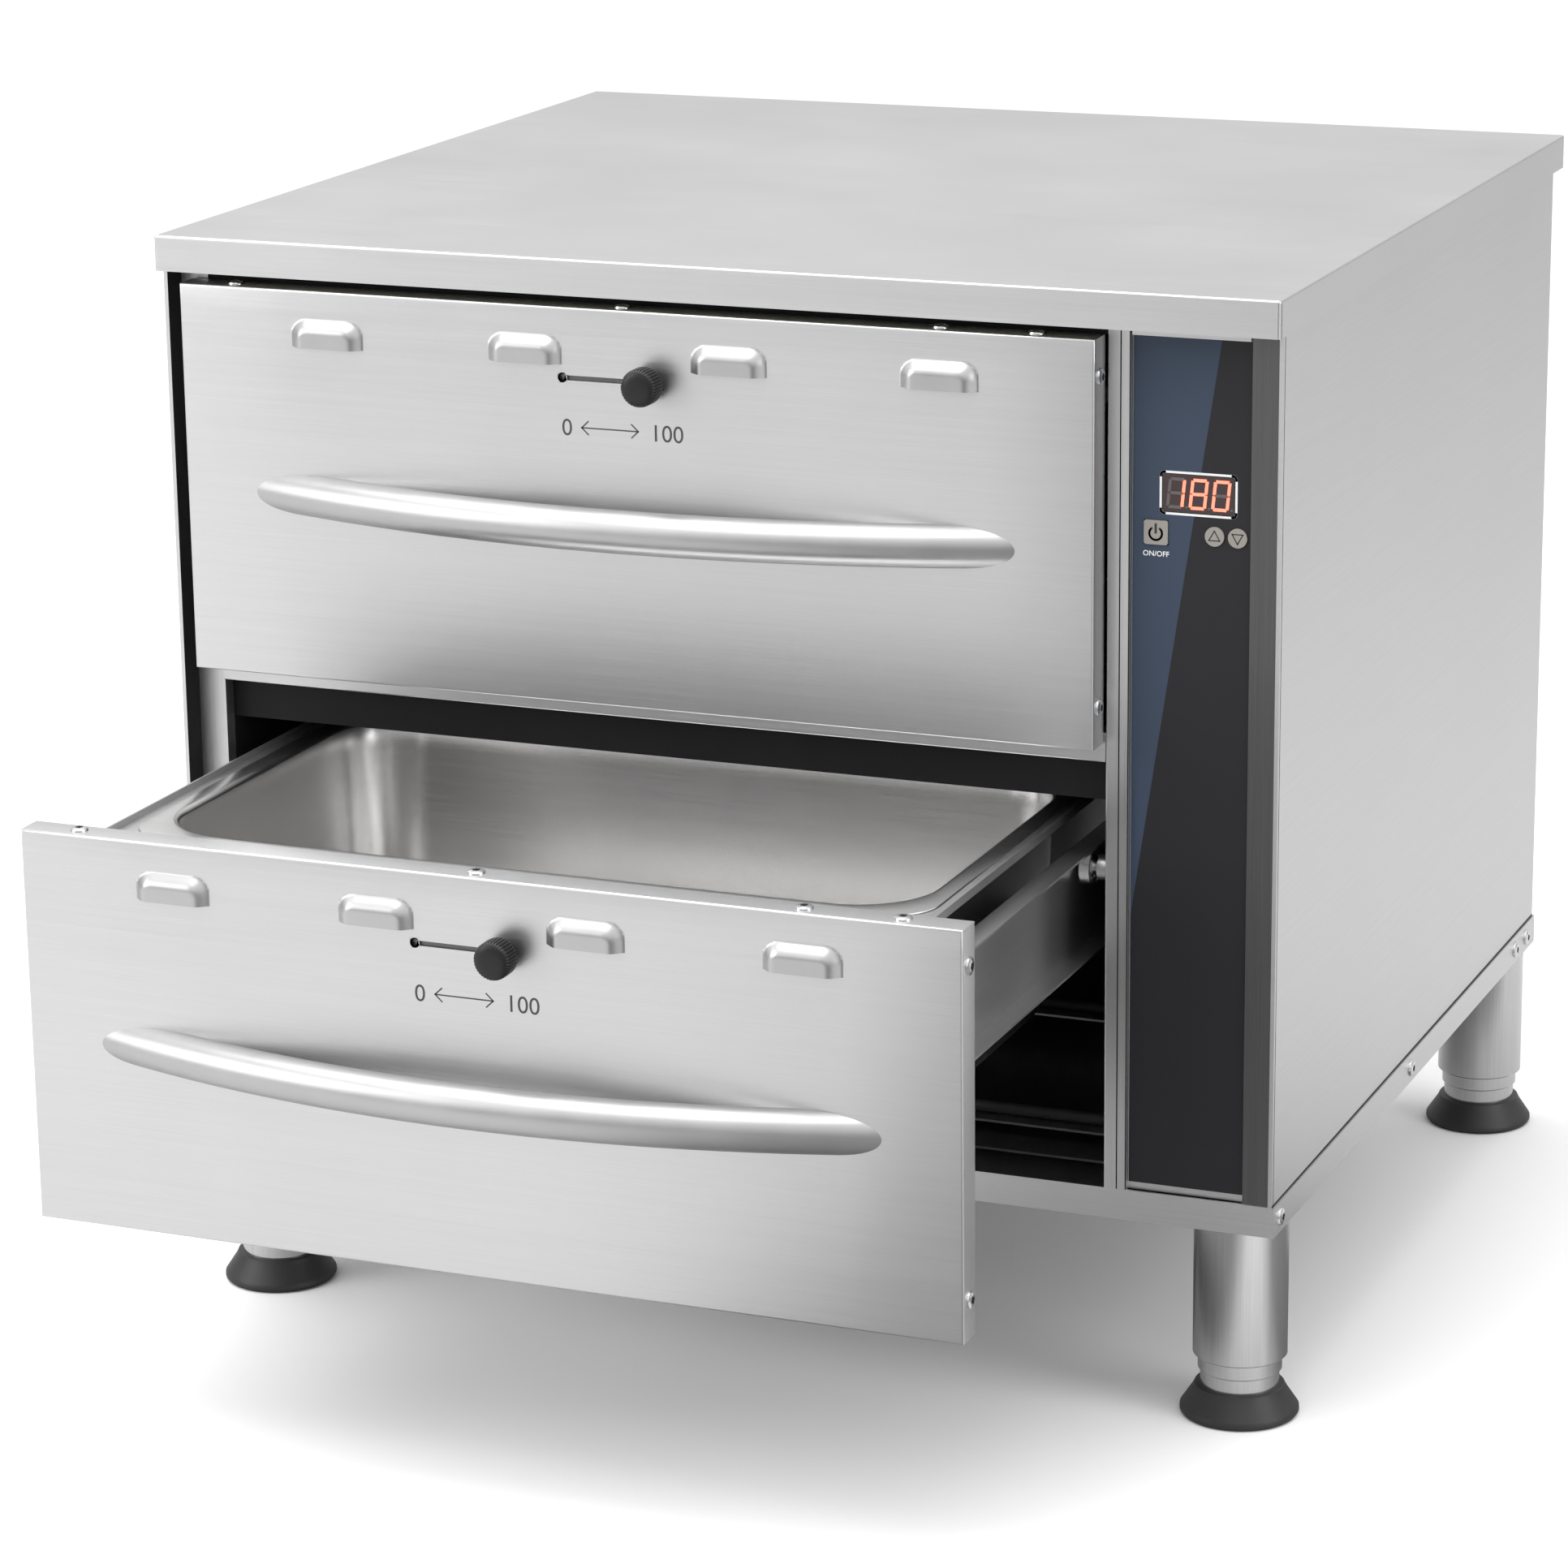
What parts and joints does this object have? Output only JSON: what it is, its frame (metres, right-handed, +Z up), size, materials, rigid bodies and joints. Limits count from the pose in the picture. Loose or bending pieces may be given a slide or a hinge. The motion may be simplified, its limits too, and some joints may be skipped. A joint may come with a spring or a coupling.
{
  "type": "countertop warming drawer",
  "caption": "Free-standing heated steel cabinet with drawers for food pans, vent sliders, a digital control strip and adjustable legs.",
  "frame": {"origin": "on the surface the feet stand on, under the middle of the outline with the upper drawer shut and the lower one drawn out 230 mm", "axes": "+Z up, the drawers open towards -Y, +X to the right as seen from the front"},
  "size_m": [0.76, 0.964, 0.724],
  "materials": {
    "brushed_steel": "satin, fine horizontal grain",
    "handle_steel": "smooth satin",
    "pan_steel": "drawn and polished",
    "cavity_lining": "dark heat-proof finish",
    "screw_steel": "bright",
    "roller_steel": "bright, lightly worn",
    "heater_sheath": "dark oxidised sheath",
    "insulation": "mineral wool",
    "overlay": "satin film, dark blue and charcoal",
    "display": "dark lens with red digits",
    "black_plastic": "black, lightly textured",
    "button_grey": "warm grey",
    "black_rubber": "black"
  },
  "bodies": {
    "cabinet": {"back_panel": "brushed_steel", "base_tray": "brushed_steel", "cabinet_runners": "brushed_steel", "case_screws": "screw_steel", "cavity_back_wall": "cavity_lining", "cavity_ceiling": "cavity_lining", "cavity_left_wall": "cavity_lining", "cavity_right_wall": "cavity_lining", "control_fascia": "brushed_steel", "controller_box": "black_plastic", "cord_gland": "black_plastic", "display_module": "display", "divider_post": "brushed_steel", "graphic_overlay": "overlay", "heater_guards": "brushed_steel", "heating_elements": "heater_sheath", "insulation_slabs": "insulation", "left_side_panel": "brushed_steel", "left_stile": "brushed_steel", "leg_tubes": "brushed_steel", "middle_deck": "cavity_lining", "middle_rail": "brushed_steel", "right_corner_post": "brushed_steel", "right_side_panel": "brushed_steel", "temperature_probes": "heater_sheath", "top_cover": "brushed_steel", "wiring_harness": "black_rubber"},
    "upper_drawer": {"upper_front_panel": "brushed_steel", "upper_front_liner": "brushed_steel", "upper_drawer_screws": "screw_steel", "upper_handle": "handle_steel", "upper_carriage": "brushed_steel", "upper_pan_frame": "brushed_steel", "upper_pan": "pan_steel"},
    "upper_vent": {"upper_vent_shutter": "brushed_steel", "upper_vent_knob": "black_plastic"},
    "upper_front_rollers": {"upper_front_rollers": "roller_steel"},
    "upper_rear_rollers": {"upper_rear_rollers": "roller_steel"},
    "lower_drawer": {"lower_front_panel": "brushed_steel", "lower_front_liner": "brushed_steel", "lower_drawer_screws": "screw_steel", "lower_handle": "handle_steel", "lower_carriage": "brushed_steel", "lower_pan_frame": "brushed_steel", "lower_pan": "pan_steel"},
    "lower_vent": {"lower_vent_shutter": "brushed_steel", "lower_vent_knob": "black_plastic"},
    "lower_front_rollers": {"lower_front_rollers": "roller_steel"},
    "lower_rear_rollers": {"lower_rear_rollers": "roller_steel"},
    "power_button": {"power_button": "button_grey"},
    "up_button": {"up_button": "button_grey"},
    "down_button": {"down_button": "button_grey"},
    "front_left_foot": {"front_left_foot_sleeve": "brushed_steel", "front_left_foot_pad": "black_rubber"},
    "front_right_foot": {"front_right_foot_sleeve": "brushed_steel", "front_right_foot_pad": "black_rubber"},
    "rear_left_foot": {"rear_left_foot_sleeve": "brushed_steel", "rear_left_foot_pad": "black_rubber"},
    "rear_right_foot": {"rear_right_foot_sleeve": "brushed_steel", "rear_right_foot_pad": "black_rubber"}
  },
  "joints": [
    {"name": "upper_drawer_slide", "type": "slide", "parent": "cabinet", "child": "upper_drawer", "axis": [0, -1, 0], "range_m": [0, 0.38]},
    {"name": "upper_vent_slide", "type": "slide", "parent": "upper_drawer", "child": "upper_vent", "axis": [-1, 0, 0], "range_m": [0, 0.046]},
    {"name": "upper_front_roller_spin", "type": "hinge", "parent": "cabinet", "child": "upper_front_rollers", "pos_m": [-0.044, -0.157, 0.6522], "axis": [1, 0, 0], "range_deg": [0, 1815]},
    {"name": "upper_rear_roller_spin", "type": "hinge", "parent": "upper_drawer", "child": "upper_rear_rollers", "pos_m": [-0.044, 0.279, 0.6522], "axis": [1, 0, 0], "range_deg": [0, 1815]},
    {"name": "lower_drawer_slide", "type": "slide", "parent": "cabinet", "child": "lower_drawer", "axis": [0, -1, 0], "range_m": [-0.23, 0.15]},
    {"name": "lower_vent_slide", "type": "slide", "parent": "lower_drawer", "child": "lower_vent", "axis": [-1, 0, 0], "range_m": [0, 0.046]},
    {"name": "lower_front_roller_spin", "type": "hinge", "parent": "cabinet", "child": "lower_front_rollers", "pos_m": [-0.044, -0.157, 0.3512], "axis": [1, 0, 0], "range_deg": [-1099, 717]},
    {"name": "lower_rear_roller_spin", "type": "hinge", "parent": "lower_drawer", "child": "lower_rear_rollers", "pos_m": [-0.044, 0.049, 0.3512], "axis": [1, 0, 0], "range_deg": [-1099, 717]},
    {"name": "power_button_press", "type": "slide", "parent": "cabinet", "child": "power_button", "axis": [0, 1, 0], "range_m": [0, 0.0008], "stiffness_N_per_m": 1500, "springref_m": -0.0003},
    {"name": "up_button_press", "type": "slide", "parent": "cabinet", "child": "up_button", "axis": [0, 1, 0], "range_m": [0, 0.0008], "stiffness_N_per_m": 1500, "springref_m": -0.0003},
    {"name": "down_button_press", "type": "slide", "parent": "cabinet", "child": "down_button", "axis": [0, 1, 0], "range_m": [0, 0.0008], "stiffness_N_per_m": 1500, "springref_m": -0.0003},
    {"name": "front_left_foot_height", "type": "slide", "parent": "cabinet", "child": "front_left_foot", "axis": [0, 0, -1], "range_m": [-0.012, 0.02]},
    {"name": "front_right_foot_height", "type": "slide", "parent": "cabinet", "child": "front_right_foot", "axis": [0, 0, -1], "range_m": [-0.012, 0.02]},
    {"name": "rear_left_foot_height", "type": "slide", "parent": "cabinet", "child": "rear_left_foot", "axis": [0, 0, -1], "range_m": [-0.012, 0.02]},
    {"name": "rear_right_foot_height", "type": "slide", "parent": "cabinet", "child": "rear_right_foot", "axis": [0, 0, -1], "range_m": [-0.012, 0.02]}
  ],
  "couplings": [
    {"joint": "upper_front_roller_spin", "follows": "upper_drawer_slide", "rad_per_m": 83.333},
    {"joint": "upper_rear_roller_spin", "follows": "upper_drawer_slide", "rad_per_m": 83.333},
    {"joint": "lower_front_roller_spin", "follows": "lower_drawer_slide", "rad_per_m": 83.333},
    {"joint": "lower_rear_roller_spin", "follows": "lower_drawer_slide", "rad_per_m": 83.333}
  ]
}
